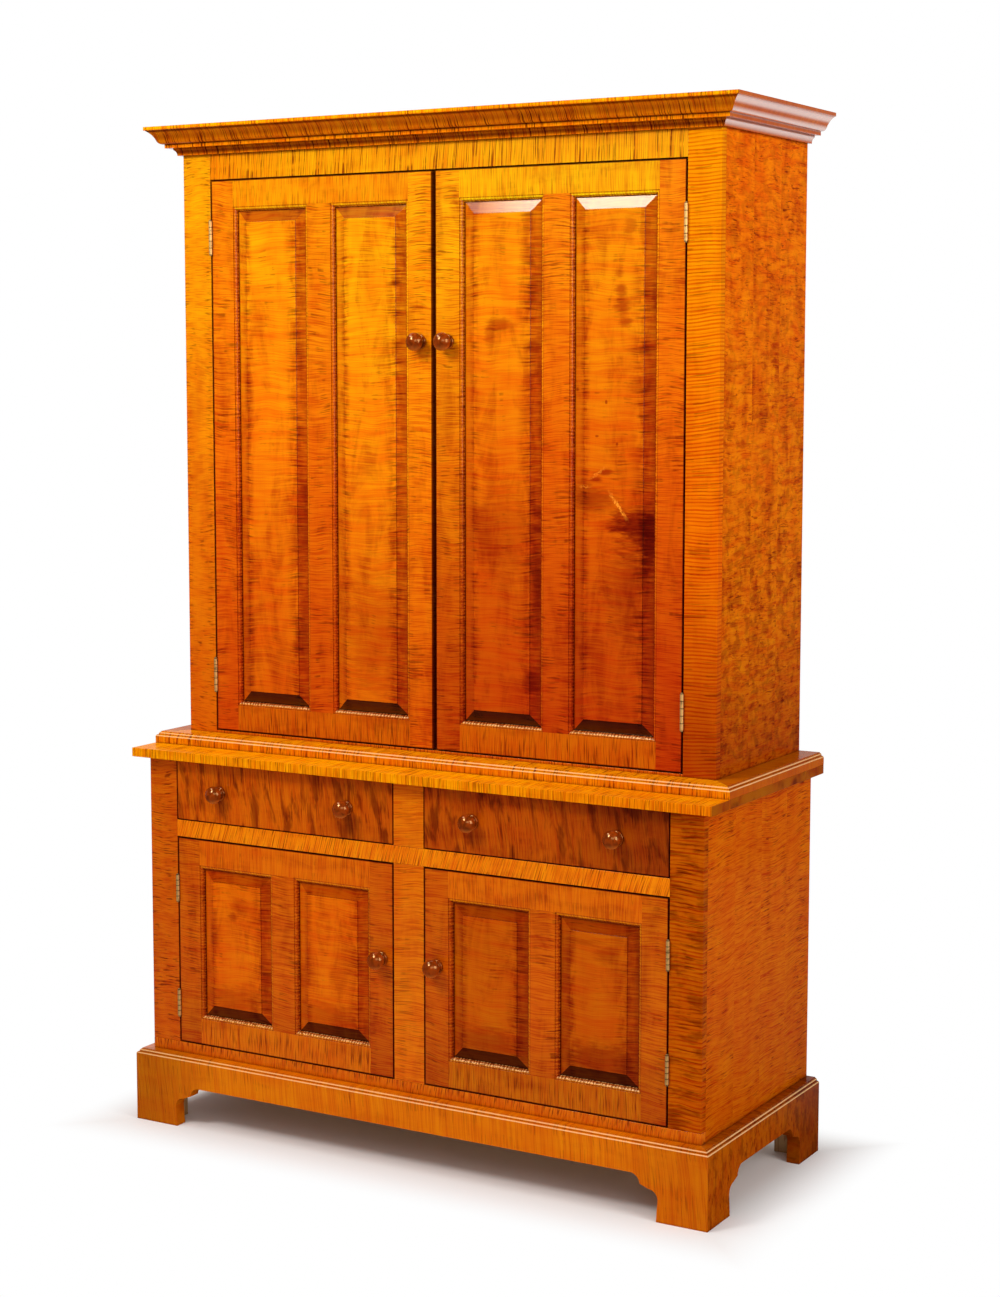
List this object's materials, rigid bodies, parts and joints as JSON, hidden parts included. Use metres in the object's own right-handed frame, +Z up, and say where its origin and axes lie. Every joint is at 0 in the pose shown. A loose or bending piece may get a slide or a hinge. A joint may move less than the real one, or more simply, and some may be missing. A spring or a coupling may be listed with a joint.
{
  "type": "stepback cupboard",
  "caption": "Two-part stepback cupboard: shallow upper case with raised-panel doors on a deeper base with drawers, doors and bracket feet; doors swing and drawers slide.",
  "frame": {"origin": "on the floor, in the middle of the part's width and depth", "axes": "+Z up, +X to the right seen from the front, the doors and drawers face -Y"},
  "size_m": [1.375, 0.557, 2.134],
  "materials": {
    "curly_maple": "glossy amber varnish on curly maple",
    "plain_boards": "plain matt boards",
    "knob_wood": "glossy dark reddish brown",
    "brass": "worn satin brass"
  },
  "bodies": {
    "case": {"base_side_left": "curly_maple", "base_side_right": "curly_maple", "base_stile_left": "curly_maple", "base_stile_right": "curly_maple", "base_centre_stiles": "curly_maple", "base_mid_rail": "curly_maple", "base_bottom_rail": "curly_maple", "base_top": "curly_maple", "bracket_front": "curly_maple", "bracket_left": "curly_maple", "bracket_right": "curly_maple", "waist_moulding": "curly_maple", "upper_side_left": "curly_maple", "upper_side_right": "curly_maple", "upper_stile_left": "curly_maple", "upper_stile_right": "curly_maple", "upper_top_rail": "curly_maple", "upper_bottom_rail": "curly_maple", "cornice": "curly_maple", "base_floor": "plain_boards", "base_back_boards": "plain_boards", "dust_board": "plain_boards", "drawer_guides": "plain_boards", "foot_blocks": "plain_boards", "upper_top": "plain_boards", "upper_floor": "plain_boards", "upper_shelves": "plain_boards", "upper_back_boards": "plain_boards", "hinge_frame_leaves": "brass", "hinge_pins": "brass"},
    "upper_left_door": {"upper_left_stiles": "curly_maple", "upper_left_rails": "curly_maple", "upper_left_panels": "curly_maple", "upper_left_knob": "knob_wood", "upper_left_leaves": "brass"},
    "upper_right_door": {"upper_right_stiles": "curly_maple", "upper_right_rails": "curly_maple", "upper_right_panels": "curly_maple", "upper_right_knob": "knob_wood", "upper_right_leaves": "brass"},
    "lower_left_door": {"lower_left_stiles": "curly_maple", "lower_left_rails": "curly_maple", "lower_left_panels": "curly_maple", "lower_left_knob": "knob_wood", "lower_left_leaves": "brass"},
    "lower_right_door": {"lower_right_stiles": "curly_maple", "lower_right_rails": "curly_maple", "lower_right_panels": "curly_maple", "lower_right_knob": "knob_wood", "lower_right_leaves": "brass"},
    "drawer_left": {"drawer_left_front": "curly_maple", "drawer_left_sides": "plain_boards", "drawer_left_back": "plain_boards", "drawer_left_bottom": "plain_boards", "drawer_left_knobs": "knob_wood"},
    "drawer_right": {"drawer_right_front": "curly_maple", "drawer_right_sides": "plain_boards", "drawer_right_back": "plain_boards", "drawer_right_bottom": "plain_boards", "drawer_right_knobs": "knob_wood"}
  },
  "joints": [
    {"name": "upper_left_hinge", "type": "hinge", "parent": "case", "child": "upper_left_door", "pos_m": [-0.55575, -0.1353, 1.435], "axis": [0, 0, -1], "range_deg": [0, 170]},
    {"name": "upper_right_hinge", "type": "hinge", "parent": "case", "child": "upper_right_door", "pos_m": [0.55575, -0.1353, 1.435], "axis": [0, 0, 1], "range_deg": [0, 170]},
    {"name": "lower_left_hinge", "type": "hinge", "parent": "case", "child": "lower_left_door", "pos_m": [-0.58275, -0.2438, 0.4045], "axis": [0, 0, -1], "range_deg": [0, 170]},
    {"name": "lower_right_hinge", "type": "hinge", "parent": "case", "child": "lower_right_door", "pos_m": [0.58275, -0.2438, 0.4045], "axis": [0, 0, 1], "range_deg": [0, 170]},
    {"name": "drawer_left_slide", "type": "slide", "parent": "case", "child": "drawer_left", "axis": [0, -1, 0], "range_m": [0, 0.36]},
    {"name": "drawer_right_slide", "type": "slide", "parent": "case", "child": "drawer_right", "axis": [0, -1, 0], "range_m": [0, 0.36]}
  ]
}
